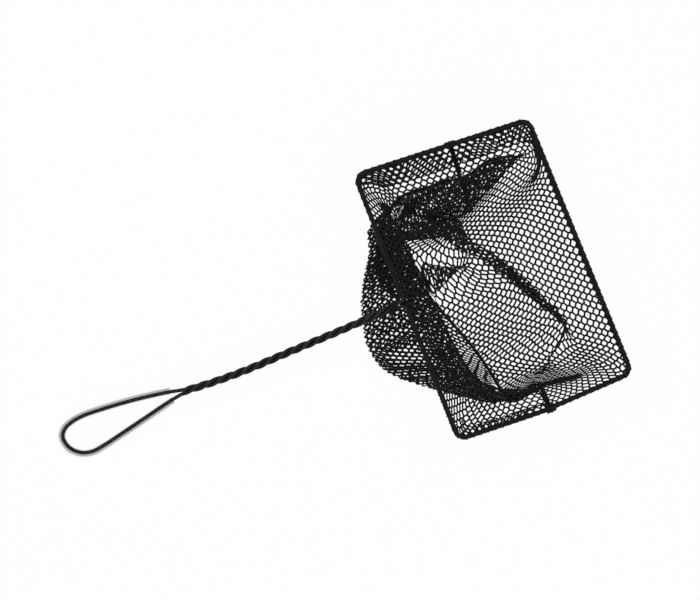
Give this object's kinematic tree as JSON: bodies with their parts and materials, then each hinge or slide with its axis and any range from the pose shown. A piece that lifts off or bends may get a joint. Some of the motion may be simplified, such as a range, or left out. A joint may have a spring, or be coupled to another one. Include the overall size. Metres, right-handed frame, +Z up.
{
  "type": "pond net",
  "caption": "Hand net for ponds: oblong coated wire hoop, twisted wire handle with a sleeved hanging loop, and a loose bag of black netting sewn round the hoop.",
  "frame": {"origin": "on the surface that the net lies on, in the middle of the bag's flat underside", "axes": "+X from the handle towards the far side of the hoop, +Y along the hoop's long side, +Z up from the surface"},
  "size_m": [0.5228, 0.2733, 0.0532],
  "materials": {
    "coat": "black soft plastic drawn over the wire, satin",
    "core": "drawn steel wire, galvanised",
    "sleeve": "smoky clear soft tube",
    "netting": "knitted black nylon netting",
    "hem": "rolled netting, whipped with black yarn",
    "yarn": "black nylon yarn"
  },
  "bodies": {
    "root": {"hoop_coat": "coat", "hoop_core": "core", "strand_a_coat": "coat", "strand_a_core": "core", "strand_b_coat": "coat", "strand_b_core": "core", "strand_c_coat": "coat", "strand_c_core": "core", "loop_coat": "coat", "loop_core": "core", "grip_sleeve": "sleeve", "rim_hem_far": "hem", "rim_hem_near_upper": "hem", "rim_hem_near_lower": "hem", "seam_knot_upper": "yarn", "seam_knot_lower": "yarn", "junction_lashing": "yarn", "net_panel_far": "netting", "net_panel_near": "netting", "side_seam_upper": "yarn", "side_seam_lower": "yarn", "bottom_seam": "yarn"}
  },
  "joints": []
}
